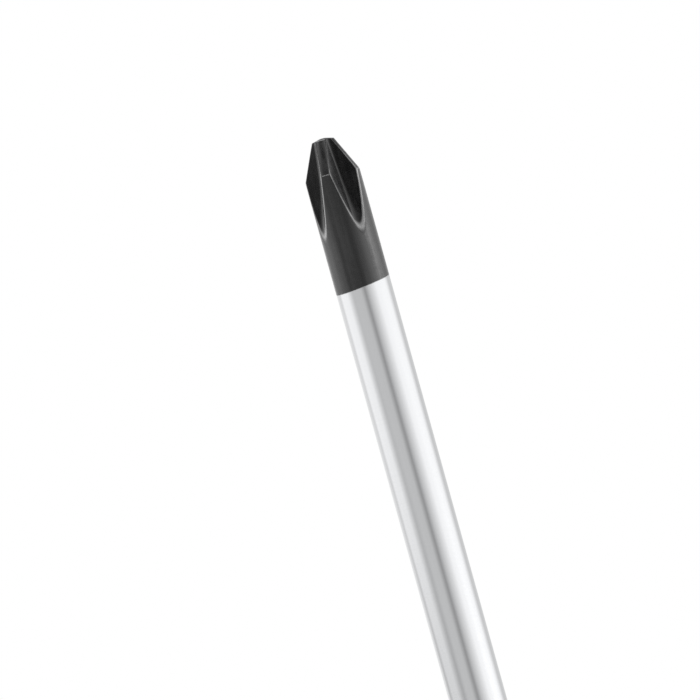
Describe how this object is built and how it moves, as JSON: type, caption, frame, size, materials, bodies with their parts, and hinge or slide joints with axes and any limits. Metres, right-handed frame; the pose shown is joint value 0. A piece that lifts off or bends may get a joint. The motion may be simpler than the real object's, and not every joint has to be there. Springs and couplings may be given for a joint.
{
  "type": "cross-head screwdriver",
  "caption": "Hand screwdriver with a cross point on a round chromed blade, blackened at its end, and a lobed handle with soft inlays, an anti-roll collar and a hanging hole.",
  "frame": {"origin": "centre of the flat butt of the handle, which the tool stands on", "axes": "+Z along the blade from the butt to the point, +X along the hanging hole"},
  "size_m": [0.0358, 0.0336, 0.206],
  "materials": {
    "blade_steel": "bright satin chrome on steel, black oxide over the last 16.5 mm at the point",
    "core_plastic": "plain moulded",
    "hard_plastic": "fine moulded grain",
    "soft_plastic": "matt soft-touch"
  },
  "bodies": {
    "root": {"blade": "blade_steel", "handle_core": "core_plastic", "handle_shell": "hard_plastic", "end_cap": "hard_plastic", "front_collar": "soft_plastic", "grip_pad_1": "soft_plastic", "grip_pad_2": "soft_plastic", "grip_pad_3": "soft_plastic", "grip_pad_4": "soft_plastic", "grip_pad_5": "soft_plastic", "grip_pad_6": "soft_plastic"}
  },
  "joints": []
}
